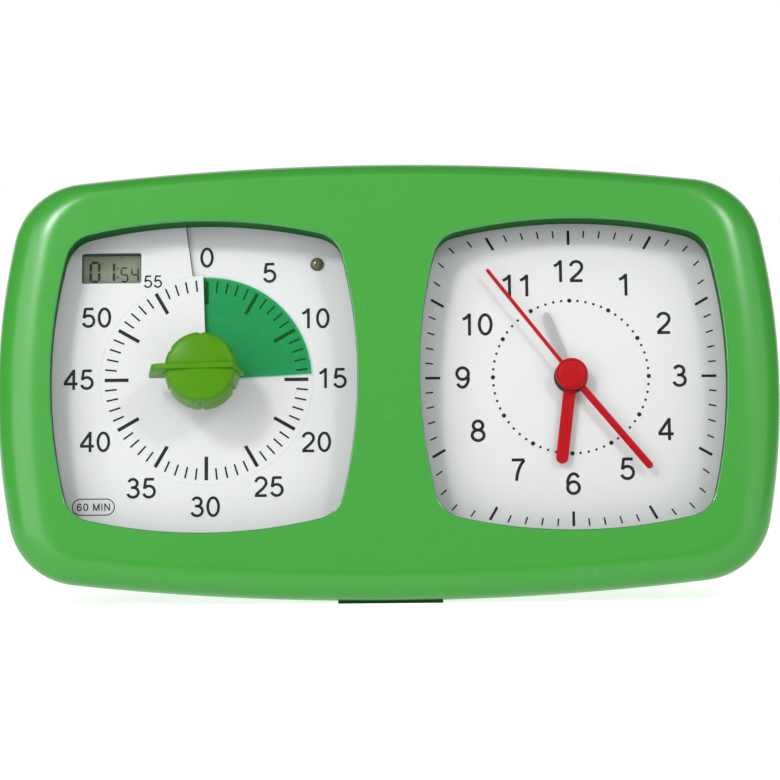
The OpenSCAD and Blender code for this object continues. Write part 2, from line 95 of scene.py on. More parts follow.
def loft(rings, close=True, cap0=False, cap1=False):
    """Skins a list of rings that have the same number of points."""
    n = len(rings[0])
    verts = [v for r in rings for v in r]
    faces = []
    for k in range(len(rings) - 1):
        for i in range(n if close else n - 1):
            j = (i + 1) % n
            faces.append([k * n + i, k * n + j, (k + 1) * n + j, (k + 1) * n + i])
    if cap0:
        faces.append(list(range(n)))
    if cap1:
        faces.append([(len(rings) - 1) * n + i for i in range(n)])
    return verts, faces


def join(*parts):
    """Puts several (points, faces) pairs into one."""
    verts, faces = [], []
    for v, f in parts:
        o = len(verts)
        verts += list(v)
        faces += [[i + o for i in q] for q in f]
    return verts, faces


def quarter(a, b, ra, rb, rc, na=10, nc=14, nb=14):
    """A quarter of a bowed outline: side arc ra, corner arc rc and top arc rb, tangent."""
    ka, kb = a - ra, b - rb
    d = math.hypot(ka, kb)
    pa, pb = ra - rc, rb - rc
    k = (pa * pa - pb * pb + d * d) / (2 * d)
    h = math.sqrt(pa * pa - k * k)
    cx, cz = ka - k * ka / d - h * kb / d, k * kb / d - h * ka / d
    s = math.atan2(cz, cx - a + ra)
    t = math.atan2(cz - b + rb, cx)
    out = [(a - ra + ra * math.cos(s * i / na), ra * math.sin(s * i / na)) for i in range(na)]
    out += [(cx + rc * math.cos(s + (t - s) * i / nc), cz + rc * math.sin(s + (t - s) * i / nc))
            for i in range(nc + 1)]
    q = math.pi / 2
    out += [(rb * math.cos(t + (q - t) * i / nb), b - rb + rb * math.sin(t + (q - t) * i / nb))
            for i in range(1, nb + 1)]
    return out


def ring(a, b, c, ra, rb, rc, **kw):
    """A bowed outline of half width a that reaches b up and c down."""
    p, q = quarter(a, b, ra, rb, rc, **kw), quarter(a, c, ra, rb, rc, **kw)
    n = len(p)
    return (p + [(-p[i][0], p[i][1]) for i in range(n - 2, -1, -1)]
            + [(-q[i][0], -q[i][1]) for i in range(1, n)]
            + [(q[i][0], -q[i][1]) for i in range(n - 2, 0, -1)])


def window(side, grow, y):
    """The outline of a window at depth y, larger all round by grow."""
    outline = ring(WX + grow, WZ + grow, WZ + grow, WINDOW_BOW, WINDOW_BOW, WINDOW_CORNER + grow)
    return [(side * WIN_X + x, y, WIN_Z + z) for x, z in outline]


def lathe(profile, n=96, cx=0.0, cz=0.0, mod=None):
    """Turns (radius, depth) pairs about the depth axis."""
    rings = []
    for k, (r, y) in enumerate(profile):
        row = []
        for i in range(n):
            a = 2 * math.pi * i / n
            rr = r if mod is None else mod(k, r, a)
            row.append((cx + rr * math.sin(a), y, cz + rr * math.cos(a)))
        rings.append(row)
    return loft(rings, True, profile[0][0] > 1e-6, profile[-1][0] > 1e-6)


def inset(poly, d):
    """The outline poly moved inwards by d."""
    n = len(poly)
    area = sum(poly[j][0] * poly[(j + 1) % n][1] - poly[(j + 1) % n][0] * poly[j][1]
               for j in range(n))
    out = []
    for i in range(n):
        a, b, c = poly[i - 1], poly[i], poly[(i + 1) % n]
        e1 = Vector((b[0] - a[0], b[1] - a[1])).normalized()
        e2 = Vector((c[0] - b[0], c[1] - b[1])).normalized()
        m = Vector((-(e1.y + e2.y), e1.x + e2.x))
        m = m / max(m.length_squared, 1e-9) * 2
        m *= 1 if area > 0 else -1
        out.append((b[0] + m.x * d, b[1] + m.y * d))
    return out


def slab(poly, y0, y1, edge=0.0):
    """A flat plate of profile poly with softened front edges, front at y0."""
    rows = []
    if edge:
        for k in (3, 2, 1, 0):
            w = math.pi / 2 * k / 3
            rows.append([(x, y0 + edge * (1 - math.sin(w)), z)
                         for x, z in inset(poly, edge * (1 - math.cos(w)))])
    else:
        rows.append([(x, y0, z) for x, z in poly])
    rows.append([(x, y1, z) for x, z in poly])
    return loft(rows, True, True, True)


def refine(name, node, mat, body, angle=32, bevel=0.0):
    """A cleaned copy of a CAD node: joined skins, flat areas dissolved, soft edges."""
    bm = bmesh.new()
    bm.from_mesh(NODES[node].data)
    bmesh.ops.remove_doubles(bm, verts=bm.verts, dist=0.000004)
    bmesh.ops.dissolve_limit(bm, angle_limit=math.radians(0.6), verts=bm.verts, edges=bm.edges)
    me = bpy.data.meshes.new(name)
    bm.to_mesh(me)
    bm.free()
    ob = finish_mesh(name, me, mat, body, (node,), angle)
    if bevel:
        b = ob.modifiers.new("soft", "BEVEL")
        b.width = bevel / 1000
        b.segments = 2
        b.limit_method = "ANGLE"
        b.angle_limit = math.radians(40)
        b.harden_normals = True
    w = ob.modifiers.new("even", "WEIGHTED_NORMAL")
    w.keep_sharp = True
    return ob


# ---------------------------------------------------------------- materials
def material(name):
    """An empty node material: the material, its tree and its output node."""
    m = bpy.data.materials.new(name)
    m.use_nodes = True
    nt = m.node_tree
    nt.nodes.clear()
    out = nt.nodes.new("ShaderNodeOutputMaterial")
    return m, nt, out


def node(nt, kind, **kw):
    """A node with the named inputs set."""
    n = nt.nodes.new(kind)
    for k, v in kw.items():
        n.inputs[k].default_value = v
    return n


def surface(name, col, rough=0.35, mottle=0.06, mottle_scale=45, grain=900, bump=0.12,
            relief=0.00004, rough_var=0.06, metal=0.0, coat=0.0, spec=0.5, brushed=None,
            subsurface=0.0):
    """Moulded, painted, printed or turned surface with its own mottle, grain and gloss."""
    m, nt, out = material(name)
    p = node(nt, "ShaderNodeBsdfPrincipled", Metallic=metal)
    p.inputs["Coat Weight"].default_value = coat
    p.inputs["Specular IOR Level"].default_value = spec
    if subsurface:
        p.inputs["Subsurface Weight"].default_value = subsurface
        p.inputs["Subsurface Radius"].default_value = (0.002, 0.002, 0.001)
    tc = node(nt, "ShaderNodeTexCoord")
    src = tc.outputs["Object"]
    if brushed:
        mp = node(nt, "ShaderNodeMapping", Scale=brushed)
        nt.links.new(src, mp.inputs["Vector"])
        fine_src = mp.outputs["Vector"]
    else:
        fine_src = src
    n1 = node(nt, "ShaderNodeTexNoise", Scale=mottle_scale, Detail=4.0, Roughness=0.6)
    nt.links.new(src, n1.inputs["Vector"])
    mix = nt.nodes.new("ShaderNodeMix")
    mix.data_type = "RGBA"
    lo = [max(0, c * (1 - mottle)) for c in col[:3]] + [1]
    hi = [min(1, c * (1 + mottle)) for c in col[:3]] + [1]
    mix.inputs[6].default_value = lo
    mix.inputs[7].default_value = hi
    nt.links.new(n1.outputs["Fac"], mix.inputs[0])
    nt.links.new(mix.outputs[2], p.inputs["Base Color"])
    n2 = node(nt, "ShaderNodeTexNoise", Scale=130.0, Detail=5.0, Roughness=0.65)
    nt.links.new(fine_src, n2.inputs["Vector"])
    mr = node(nt, "ShaderNodeMapRange")
    mr.inputs["From Min"].default_value = 0.3
    mr.inputs["From Max"].default_value = 0.7
    mr.inputs["To Min"].default_value = max(0.02, rough - rough_var)
    mr.inputs["To Max"].default_value = rough + rough_var
    nt.links.new(n2.outputs["Fac"], mr.inputs["Value"])
    nt.links.new(mr.outputs["Result"], p.inputs["Roughness"])
    n3 = node(nt, "ShaderNodeTexNoise", Scale=float(grain), Detail=3.0, Roughness=0.55)
    nt.links.new(fine_src, n3.inputs["Vector"])
    b = node(nt, "ShaderNodeBump", Strength=bump, Distance=relief)
    nt.links.new(n3.outputs["Fac"], b.inputs["Height"])
    nt.links.new(b.outputs["Normal"], p.inputs["Normal"])
    nt.links.new(p.outputs["BSDF"], out.inputs["Surface"])
    return m


def clear_sheet(name, tint, gloss_rough=0.03, body=None, body_mix=0.0, streak=0.0, ior=1.46,
                body_rough=0.4):
    """A thin see-through sheet: tinted passage, a share of body colour, and Fresnel gloss."""
    m, nt, out = material(name)
    tr = node(nt, "ShaderNodeBsdfTransparent", Color=(*tint, 1))
    base = tr.outputs["BSDF"]
    tc = node(nt, "ShaderNodeTexCoord")
    n1 = node(nt, "ShaderNodeTexNoise", Scale=420.0, Detail=6.0, Roughness=0.75)
    nt.links.new(tc.outputs["Object"], n1.inputs["Vector"])
    if body:
        d = node(nt, "ShaderNodeBsdfPrincipled")
        d.inputs["Roughness"].default_value = body_rough
        cm = nt.nodes.new("ShaderNodeMix")
        cm.data_type = "RGBA"
        cm.inputs[6].default_value = [c * 0.82 for c in body] + [1]
        cm.inputs[7].default_value = [min(1, c * 1.2) for c in body] + [1]
        nt.links.new(n1.outputs["Fac"], cm.inputs[0])
        nt.links.new(cm.outputs[2], d.inputs["Base Color"])
        mr = node(nt, "ShaderNodeMapRange")
        mr.inputs["From Min"].default_value = 0.3
        mr.inputs["From Max"].default_value = 0.7
        mr.inputs["To Min"].default_value = body_mix - streak
        mr.inputs["To Max"].default_value = body_mix + streak
        nt.links.new(n1.outputs["Fac"], mr.inputs["Value"])
        ms = node(nt, "ShaderNodeMixShader")
        nt.links.new(mr.outputs["Result"], ms.inputs[0])
        nt.links.new(base, ms.inputs[1])
        nt.links.new(d.outputs["BSDF"], ms.inputs[2])
        base = ms.outputs["Shader"]
    g = node(nt, "ShaderNodeBsdfGlossy", Color=(1, 1, 1, 1))
    rr = node(nt, "ShaderNodeMapRange")
    rr.inputs["To Min"].default_value = gloss_rough
    rr.inputs["To Max"].default_value = gloss_rough + 0.04
    nt.links.new(n1.outputs["Fac"], rr.inputs["Value"])
    nt.links.new(rr.outputs["Result"], g.inputs["Roughness"])
    fr = node(nt, "ShaderNodeFresnel", IOR=ior)
    mx = node(nt, "ShaderNodeMixShader")
    nt.links.new(fr.outputs["Fac"], mx.inputs[0])
    nt.links.new(base, mx.inputs[1])
    nt.links.new(g.outputs["BSDF"], mx.inputs[2])
    nt.links.new(mx.outputs["Shader"], out.inputs["Surface"])
    return m


GREEN = surface("case_plastic", (0.038, 0.258, 0.030), rough=0.25, mottle=0.03, mottle_scale=22,
                grain=1500, bump=0.10, relief=0.00003, rough_var=0.03, spec=0.42)
# A darker copy of the case green for the window walls: painted shade of the deep reveal, not a
# different plastic.
REVEAL_PAINTED_SHADE = surface("case_plastic_reveal_painted_shade", (0.005, 0.085, 0.011), rough=0.6, mottle=0.05,
                 mottle_scale=40, grain=1500, bump=0.12, relief=0.00003, rough_var=0.05, spec=0.06)
# The windows' rounded lips: glossier case green whose highlights are real reflections; its darker
# teal colour is painted rim shade.
LIP_PAINTED_RIM_SHADE = surface("case_plastic_edge_painted_shade", (0.02, 0.20, 0.045), rough=0.14, mottle=0.05, mottle_scale=40,
              grain=1500, bump=0.05, relief=0.00002, rough_var=0.02, spec=0.8, coat=0.5)
KNOB = surface("knob_plastic", (0.060, 0.208, 0.005), rough=0.3, mottle=0.05, mottle_scale=60,
               grain=1400, bump=0.12, rough_var=0.05, spec=0.1)
WHITE = surface("dial_card", (0.62, 0.617, 0.62), rough=0.55, mottle=0.012, mottle_scale=30,
                grain=2600, bump=0.10, relief=0.00002, rough_var=0.05, spec=0.35)
INK = surface("printed_ink", (0.012, 0.012, 0.014), rough=0.5, mottle=0.25, mottle_scale=500,
              grain=3000, bump=0.2, relief=0.00001, rough_var=0.08, spec=0.15)
RED = surface("hand_red", (0.385, 0.002, 0.006), rough=0.34, mottle=0.05, mottle_scale=120,
              grain=1800, bump=0.10, rough_var=0.05, spec=0.12)
SILVER = surface("hand_silver", (0.36, 0.36, 0.365), rough=0.42, mottle=0.75, mottle_scale=3800,
                 metal=0.6, grain=5200, bump=0.5, relief=0.00006, rough_var=0.12)
BLACK = surface("black_plastic", (0.018, 0.018, 0.02), rough=0.45, mottle=0.2, mottle_scale=80,
                grain=1300, bump=0.25, rough_var=0.07)
STEEL = surface("steel", (0.52, 0.52, 0.54), rough=0.3, mottle=0.05, metal=1.0,
                brushed=(60, 1400, 1400), bump=0.15, rough_var=0.08)
BRASS = surface("brass", (0.72, 0.50, 0.20), rough=0.3, mottle=0.08, metal=1.0,
                brushed=(1400, 60, 1400), bump=0.12, rough_var=0.08)
NYLON = surface("gear_nylon", (0.78, 0.77, 0.70), rough=0.42, mottle=0.04, subsurface=0.1,
                grain=1600, bump=0.1)
GREY = surface("housing_grey", (0.55, 0.55, 0.53), rough=0.45, mottle=0.05, grain=1300, bump=0.2)
BOARD = surface("board_green", (0.012, 0.11, 0.04), rough=0.32, mottle=0.25, mottle_scale=300,
                grain=2200, bump=0.2, coat=0.4)
LCD = surface("lcd_glass", (0.195, 0.225, 0.150), rough=0.28, mottle=0.10, mottle_scale=60,
              grain=2500, bump=0.03, rough_var=0.04, coat=0.3)
SEG = surface("lcd_segments", (0.012, 0.016, 0.010), rough=0.3, mottle=0.2, mottle_scale=500,
              grain=2500, bump=0.03)
LED = surface("led_lens", (0.11, 0.115, 0.05), rough=0.12, mottle=0.3, mottle_scale=900,
              grain=1500, bump=0.25, relief=0.0002, rough_var=0.04, spec=0.6)
COPPER = surface("copper_wire", (0.46, 0.16, 0.06), rough=0.35, mottle=0.15, metal=0.6,
                 brushed=(3500, 80, 80), bump=0.5, relief=0.0001)
FOOT = surface("foot_rubber", (0.004, 0.022, 0.009), rough=0.75, mottle=0.3, mottle_scale=200,
               grain=1500, bump=0.35, spec=0.2)
RUBBER = surface("rubber", (0.015, 0.015, 0.015), rough=0.7, mottle=0.3, mottle_scale=200,
                 grain=1500, bump=0.35)
SLEEVE = surface("cell_sleeve", (0.02, 0.07, 0.22), rough=0.25, mottle=0.08, mottle_scale=90,
                 grain=900, bump=0.08, coat=0.4)
SWITCH = surface("switch_red", (0.50, 0.025, 0.02), rough=0.4, mottle=0.06, bump=0.15)
LENS = clear_sheet("lens_clear", (0.985, 0.99, 0.99), gloss_rough=0.02, ior=1.14)
FILM = clear_sheet("film_green", (0.41, 0.84, 0.64), gloss_rough=0.35, body=(0.013, 0.29, 0.04),
                   body_mix=0.12, streak=0.05, ior=1.06, body_rough=0.8)


# ---------------------------------------------------------------- the case
def case_outline(y, side, top, low, rc):
    """The case's outline at depth y, drawn in at the sides, the top and the bottom."""
    drop = y * math.tan(LEAN)
    ahead = min(1.0, max(0.0, (SEAM - y) / 10))
    bow = SIDE_BOW + (SIDE_BOW_FRONT - SIDE_BOW) * ahead
    return [(x, y, z) for x, z in ring(HX - side, HZ - top, HZ - drop - low, bow, TOP_BOW, rc)]


def add_skin(bm, rows, index=None):
    """Adds the skin of rows to bm, and returns its points row after row."""
    points, faces = loft(rows)
    vs = [bm.verts.new(FACE @ Vector(p)) for p in points]
    for q in faces:
        face = bm.faces.new([vs[i] for i in q])
        if index:
            face.material_index = index(q)
    return vs


def ring_edges(bm, vs):
    n = len(vs)
    return [bm.edges.get((vs[i], vs[(i + 1) % n])) for i in range(n)]


def bezel():
    """The front shell: a roll round the face, and a walled window on each side of it."""
    depth, w_side, w_top, w_low = 10.0, 15.0, 7.5, 12.0    # size of the roll
    rows = [case_outline(SEAM, 0.5, 0.5, 0.5, CORNER - 0.5),
            case_outline(SEAM - 0.05, 0.18, 0.18, 0.18, CORNER - 0.2),
            case_outline(SEAM - 0.35, 0.0, 0.0, 0.0, CORNER)]
    rows += [case_outline(y, 0.0, 0.0, 0.0, CORNER) for y in (19.0, 15.5, 12.5)]
    steps = 18
    for k in range(steps + 1):
        a = math.pi / 2 * k / steps
        f, g = 1 - math.cos(a), math.sin(a)
        rows.append(case_outline(depth * (1 - g), w_side * f, w_top * f, w_low * f,
                                 CORNER - 6.0 * f))
    bm = bmesh.new()
    edges = ring_edges(bm, add_skin(bm, rows)[-len(rows[0]):])
    lip, arcs = 0.55, 5                                    # rounding of a window's edge
    profile = [(lip * (1 - math.sin(math.pi / 2 * k / arcs)),
                lip * (1 - math.cos(math.pi / 2 * k / arcs))) for k in range(arcs + 1)]
    profile += [(0.0, LENS_Y - 0.25), (0.9, LENS_Y - 0.25), (0.9, COLLAR_Y), (2.0, COLLAR_Y),
                (2.0, 3.0)]
    for side in (-1, 1):
        rows = [window(side, g, y) for g, y in profile]
        m = len(rows[0])
        # Slot 1 on the window walls is the darker green with painted shade.
        # Slot 2 on the rounded lips is the glossy green with painted rim shade.
        wall = add_skin(bm, rows, lambda q: 2 if min(q) < arcs * m else 1)
        edges += ring_edges(bm, wall[:m])
    bmesh.ops.triangle_fill(bm, use_beauty=True, use_dissolve=False, edges=edges,
                            normal=FACE.to_3x3() @ Vector((0, -1, 0)))
    bmesh.ops.recalc_face_normals(bm, faces=bm.faces)
    me = bpy.data.meshes.new("bezel_shell")
    bm.to_mesh(me)
    bm.free()
    finish_mesh("bezel_shell", me, (GREEN, REVEAL_PAINTED_SHADE, LIP_PAINTED_RIM_SHADE), "case", ("front_bezel",), 40, True)


bezel()
refine("rear_shell", "rear_cover", GREEN, "case", 24, 0.35)
refine("battery_hatch", "battery_door", GREEN, "door", 30, 0.25)


# ---------------------------------------------------------------- print on the dials
def arc(cx, cy, rx, ry, a0, a1, n=20):
    """A stroke along an ellipse, from a0 to a1 degrees."""
    return [(cx + rx * math.cos(math.radians(a0 + (a1 - a0) * i / n)),
             cy + ry * math.sin(math.radians(a0 + (a1 - a0) * i / n))) for i in range(n + 1)]


SIX = [arc(0.392, 0.322, 0.258, 0.262, 0, 360, 32), arc(0.407, 0.50, 0.273, 0.44, 183, 38, 22)]
# Each figure is a list of strokes in a box of height 1.
GLYPHS = {
    "0": [arc(0.386, 0.5, 0.262, 0.44, 0, 360, 40)],
    "1": [[(0.455, 0), (0.455, 1.0)],
          [(0.455, 0.955), (0.375, 0.865), (0.28, 0.79), (0.16, 0.735)]],
    "2": [arc(0.385, 0.69, 0.252, 0.25, 172, -30, 18)
          + [(0.51, 0.44), (0.35, 0.29), (0.20, 0.155), (0.135, 0.06)],
          [(0.09, 0.06), (0.665, 0.06)]],
    "3": [arc(0.372, 0.735, 0.213, 0.205, 160, -90, 18),
          arc(0.378, 0.297, 0.262, 0.238, 90, -165, 22), [(0.28, 0.532), (0.39, 0.532)]],
    "4": [[(0.515, 0), (0.515, 1.0)], [(0.52, 0.955), (0.075, 0.325)],
          [(0.03, 0.288), (0.70, 0.288)]],
    "5": [[(0.62, 0.935), (0.205, 0.935)], [(0.225, 0.97), (0.155, 0.47)],
          arc(0.375, 0.333, 0.272, 0.274, 146, -160, 26)],
    "6": SIX,
    "7": [[(0.09, 0.935), (0.66, 0.935)],
          [(0.645, 0.92), (0.50, 0.73), (0.40, 0.52), (0.325, 0.27), (0.292, 0)]],
    "8": [arc(0.385, 0.735, 0.213, 0.203, 0, 360, 28), arc(0.385, 0.297, 0.262, 0.236, 0, 360, 32)],
    "9": [[(0.77 - x, 1 - y) for x, y in s] for s in SIX],
    "M": [[(0.12, 0), (0.12, 1)], [(0.12, 0.97), (0.48, 0.03)], [(0.48, 0.03), (0.84, 0.97)],
          [(0.84, 0), (0.84, 1)]],
    "I": [[(0.18, 0), (0.18, 1)]],
    "N": [[(0.12, 0), (0.12, 1)], [(0.12, 0.96), (0.72, 0.04)], [(0.72, 0), (0.72, 1)]],
    " ": [],
}
WIDTH = {"M": 0.96, "I": 0.36, "N": 0.84, " ": 0.36}
FIGURE_WIDTH = 0.77


def ribbon(line, width):
    """A flat band of even width along a line, as (points, quads) in the dial plane."""
    closed = len(line) > 3 and math.dist(line[0], line[-1]) < 1e-6
    pts = line[:-1] if closed else line
    n = len(pts)
    out, h = [], width / 2
    for i in range(n):
        a = pts[i - 1] if (closed or i) else None
        c = pts[(i + 1) % n] if (closed or i < n - 1) else None
        b = pts[i]
        d1 = Vector((b[0] - a[0], b[1] - a[1])).normalized() if a else None
        d2 = Vector((c[0] - b[0], c[1] - b[1])).normalized() if c else None
        if d1 is None:
            d1 = d2
        if d2 is None:
            d2 = d1
        m = Vector((-(d1.y + d2.y), d1.x + d2.x))
        m = m / max(m.length_squared, 0.5) * 2
        out += [(b[0] + m.x * h, b[1] + m.y * h), (b[0] - m.x * h, b[1] - m.y * h)]
    faces = []
    for i in range(n if closed else n - 1):
        j = (i + 1) % n
        faces.append([2 * i, 2 * i + 1, 2 * j + 1, 2 * j])
    return out, faces


class Print:
    """Collects flat marks on a dial and lays them just in front of its surface."""

    def __init__(self, depth):
        self.depth, self.v, self.f = depth, [], []

    def add(self, pts, faces):
        o = len(self.v)
        self.v += [(x, self.depth(x, z), z) for x, z in pts]
        self.f += [[i + o for i in q] for q in faces]

    def line(self, pts, width):
        self.add(*ribbon(pts, width))

    def tick(self, angle, r0, r1, width, steps=3):
        s, c = math.sin(angle), math.cos(angle)
        self.line([(s * (r0 + (r1 - r0) * i / steps), c * (r0 + (r1 - r0) * i / steps))
                   for i in range(steps + 1)], width)

    def dot(self, x, z, r, n=18):
        turns = [2 * math.pi * i / n for i in range(n)]
        self.add([(x, z)] + [(x + r * math.cos(a), z + r * math.sin(a)) for a in turns],
                 [[0, 1 + i, 1 + (i + 1) % n] for i in range(n)])

    def text(self, word, x, z, cap, stroke=0.138, space=0.0):
        w = [WIDTH.get(ch, FIGURE_WIDTH) + space for ch in word]
        left = x - cap * (sum(w) - space) / 2
        for ch, adv in zip(word, w):
            for s in GLYPHS[ch]:
                self.line([(left + cap * a, z - cap / 2 + cap * b) for a, b in s], cap * stroke)
            left += cap * adv

    def make(self, name, mat, body, cx):
        return build(name, [(cx + x, y, AX_Z + z) for x, y, z in self.v], self.f, mat, body,
                     recalc=False)


def turn_of(x, z, start):
    """Degrees clockwise from twelve, counted from start."""
    a = math.degrees(math.atan2(x, z))
    return a if a >= start else a + 360


def ramp(w):
    """Depth of the timer dial's middle at w degrees."""
    return DIAL_Y + 0.9 - PITCH * w / 360


def timer_depth(x, z):
    start = INNER_START if math.hypot(x, z) < STEP_R else OUTER_START
    return ramp(turn_of(x, z, start)) - CARD_HALF - PRINT_LIFT


def reach(outline, a):
    """Distance from the axis to a closed outline, at a radians clockwise from twelve."""
    s, c = math.sin(a), math.cos(a)
    best = 0
    for i in range(len(outline)):
        p, q = outline[i], outline[(i + 1) % len(outline)]
        k = s * (q[1] - p[1]) - c * (q[0] - p[0])
        if abs(k) < 1e-9:
            continue
        t = (c * p[0] - s * p[1]) / k
        if -1e-6 <= t <= 1 + 1e-6:
            best = max(best, (p[0] + t * (q[0] - p[0])) * s + (p[1] + t * (q[1] - p[1])) * c)
    return best


tp = Print(timer_depth)
for k in range(60):
    a = math.radians(6 * k)
    if k % 5 == 0:
        tp.tick(a, 27.2, 35.6, 1.25, 4)
    else:
        tp.tick(a, 31.5, 35.6, 0.62)
FIGURES_X, FIGURES_Z, FIGURES_R = -0.35, 0.35, 44.2        # the ring of minute figures
for k in range(11):
    a = math.radians(30 * k)
    r = {0: 43.8, 4: 44.6, 6: 45.2, 7: 44.5}.get(k, FIGURES_R)
    tp.text(str(5 * k), r * math.sin(a) + (-0.05 if k < 2 else FIGURES_X),
            r * math.cos(a) + {1: 0.15, 2: -0.25, 4: 0.0}.get(k, FIGURES_Z), 7.2)
tp.text("55", -18.9, 35.2, 4.5, 0.13)
PILL_X, PILL_Z, PILL_HALF, PILL_R = -39.1, -44.7, 4.5, 2.8
tp.text("60 MIN", PILL_X, PILL_Z, 2.6, 0.155, 0.09)
pill = []
for side, a0 in ((1, -90), (-1, 90)):
    for i in range(13):
        a = math.radians(a0 + 180 * i / 12)
        pill.append((PILL_X + side * PILL_HALF + PILL_R * math.cos(a),
                     PILL_Z + PILL_R * math.sin(a)))
tp.line(pill + [pill[0]], 0.36)
tp.make("timer_print", INK, "case", -AX_X)

cp = Print(lambda x, z: DIAL_Y - PRINT_LIFT)
track = ring(50.9, 52.7, 52.7, WINDOW_BOW, WINDOW_BOW, 10.5, na=24, nc=30, nb=24)
DOTS_R, HOURS_R = 27.25, 37.9
for k in range(60):
    a = math.radians(6 * k)
    r = reach(track, a)
    cp.tick(a, r - (5.2 if k % 5 == 0 else 2.7), r, 0.95 if k % 5 == 0 else 0.55, 1)
    cp.dot(DOTS_R * math.sin(a), DOTS_R * math.cos(a) + 0.1, 0.78 if k % 5 == 0 else 0.46)
for k in range(12):
    a = math.radians(30 * k)
    cp.text(str(k or 12), HOURS_R * math.sin(a) + {0: -0.4, 1: 0.5, 11: 0.5}.get(k, 0.1),
            HOURS_R * math.cos(a) + 0.12, 7.9)
cp.make("clock_print", INK, "case", AX_X)


# ---------------------------------------------------------------- timer dial and film
EDGE = ring(WX + DIAL_GROW, WZ + DIAL_GROW, WZ + DIAL_GROW, WINDOW_BOW, WINDOW_BOW,
            WINDOW_CORNER + DIAL_GROW)                     # outline of a dial
EDGE_FROM_AXIS = [(x + AX_X - WIN_X, z + WIN_Z - AX_Z) for x, z in EDGE]
LCD_X, LCD_Z = -WX * 0.606 - 1.4, WZ * 0.714 + 1.1
LED_X, LED_Z, LED_R = WX * 0.728 + 0.2, WZ * 0.738 + 0.9, 2.25
LCD_HALF_X, LCD_HALF_Z = 10.5, 5.5


def ramp_sheet(w0, w1, n, prof):
    """A sheet wound about the timer's axis, with the profile prof(w) at w degrees."""
    rings = []
    for i in range(n + 1):
        w = w0 + (w1 - w0) * i / n
        s, c = math.sin(math.radians(w)), math.cos(math.radians(w))
        rings.append([(-AX_X + r * s, y, AX_Z + r * c) for r, y in prof(w)])
    return loft(rings, True, True, True)


def inner_prof(w):
    front, back = ramp(w) - CARD_HALF, ramp(w) + 0.35
    return [(8.4, front), (16, front), (26, front), (STEP_R - 0.08, front),
            (STEP_R, front + 0.08), (STEP_R, back), (8.4, back)]


def outer_prof(w):
    front, back, e = ramp(w) - CARD_HALF, ramp(w) + 0.35, reach(EDGE_FROM_AXIS, math.radians(w))
    return [(STEP_R, front), (44 if e > 44 else 40, front), (e, front), (e, FRAME_Y),
            (38.0, FRAME_Y), (STEP_R, back)]


def cut_by(ob, cutters):
    """Takes the cutters out of a piece, and removes them."""
    for c in cutters:
        m = ob.modifiers.new("cut", "BOOLEAN")
        m.operation = "DIFFERENCE"
        m.solver = "EXACT"
        m.object = c
    bpy.context.view_layer.update()
    dg = bpy.context.evaluated_depsgraph_get()
    me = bpy.data.meshes.new_from_object(ob.evaluated_get(dg))
    ob.modifiers.clear()
    ob.data = me
    for c in cutters:
        bpy.data.objects.remove(c)
    for p in ob.data.polygons:
        p.use_smooth = True
    ob.data.set_sharp_from_angle(angle=math.radians(35))


def cutter(v, f):
    """A throw-away solid for cut_by."""
    me = bpy.data.meshes.new("cutter")
    me.from_pydata([tuple(FACE @ Vector(p)) for p in v], [], f)
    ob = bpy.data.objects.new("cutter", me)
    bpy.context.scene.collection.objects.link(ob)
    bm = bmesh.new()
    bm.from_mesh(me)
    bmesh.ops.recalc_face_normals(bm, faces=bm.faces)
    bm.to_mesh(me)
    bm.free()
    return ob


def round_box(cx, cz, hx, hz, r, n=5):
    """A rectangle of half size hx by hz with corners of radius r."""
    out = []
    for sx, sz, a0 in ((1, 1, 0), (-1, 1, 90), (-1, -1, 180), (1, -1, 270)):
        for i in range(n + 1):
            a = math.radians(a0 + 90 * i / n)
            out.append((cx + sx * (hx - r) + r * math.cos(a), cz + sz * (hz - r) + r * math.sin(a)))
    return out


build("timer_dial_inner", *ramp_sheet(INNER_START, 358.1, 120, inner_prof), WHITE, "case",
      angle=30)
plate = build("timer_dial_card", *ramp_sheet(OUTER_START, 352.3, 160, outer_prof), WHITE, "case",
              ("timer_dial",), angle=30)
LCD_AT = (-AX_X + LCD_X, AX_Z + LCD_Z)
LED_AT = (-AX_X + LED_X, AX_Z + LED_Z)
CUT_FRONT, CUT_BACK = 5, 30
LED_HOLE = LED_R + 0.17
cut_by(plate, [
    cutter(*slab(round_box(*LCD_AT, LCD_HALF_X, LCD_HALF_Z, 0.8), CUT_FRONT, CUT_BACK)),
    cutter(*slab(round_box(*LCD_AT, LCD_HALF_X + 1.7, LCD_HALF_Z + 1.7, 0.6), DIAL_Y, CUT_BACK)),
    cutter(*lathe([(LED_HOLE, CUT_FRONT), (LED_HOLE, CUT_BACK)], 40, *LED_AT))])


def film_prof(w):
    y, half, round_off = ramp(w) - PITCH / 2, 0.14, 0.05
    return [(6.98, y - half), (20, y - half), (DISC_R - 0.1, y - half), (DISC_R, y - round_off),
            (DISC_R, y + round_off), (DISC_R - 0.1, y + half), (20, y + half), (6.98, y + half)]


build("film_disc", *ramp_sheet(SHOWN - 359, SHOWN, 140, film_prof), FILM, "disc", ("time_disc",),
      angle=30)

dial = slab([(WIN_X + x, WIN_Z + z) for x, z in EDGE], DIAL_Y, FRAME_Y, 0.2)
plate = build("clock_dial_card", *dial, WHITE, "case", ("clock_dial",))
NOSE_R = 4.5
cut_by(plate, [cutter(*lathe([(NOSE_R, CUT_FRONT), (NOSE_R, CUT_BACK)], 64, AX_X, AX_Z))])


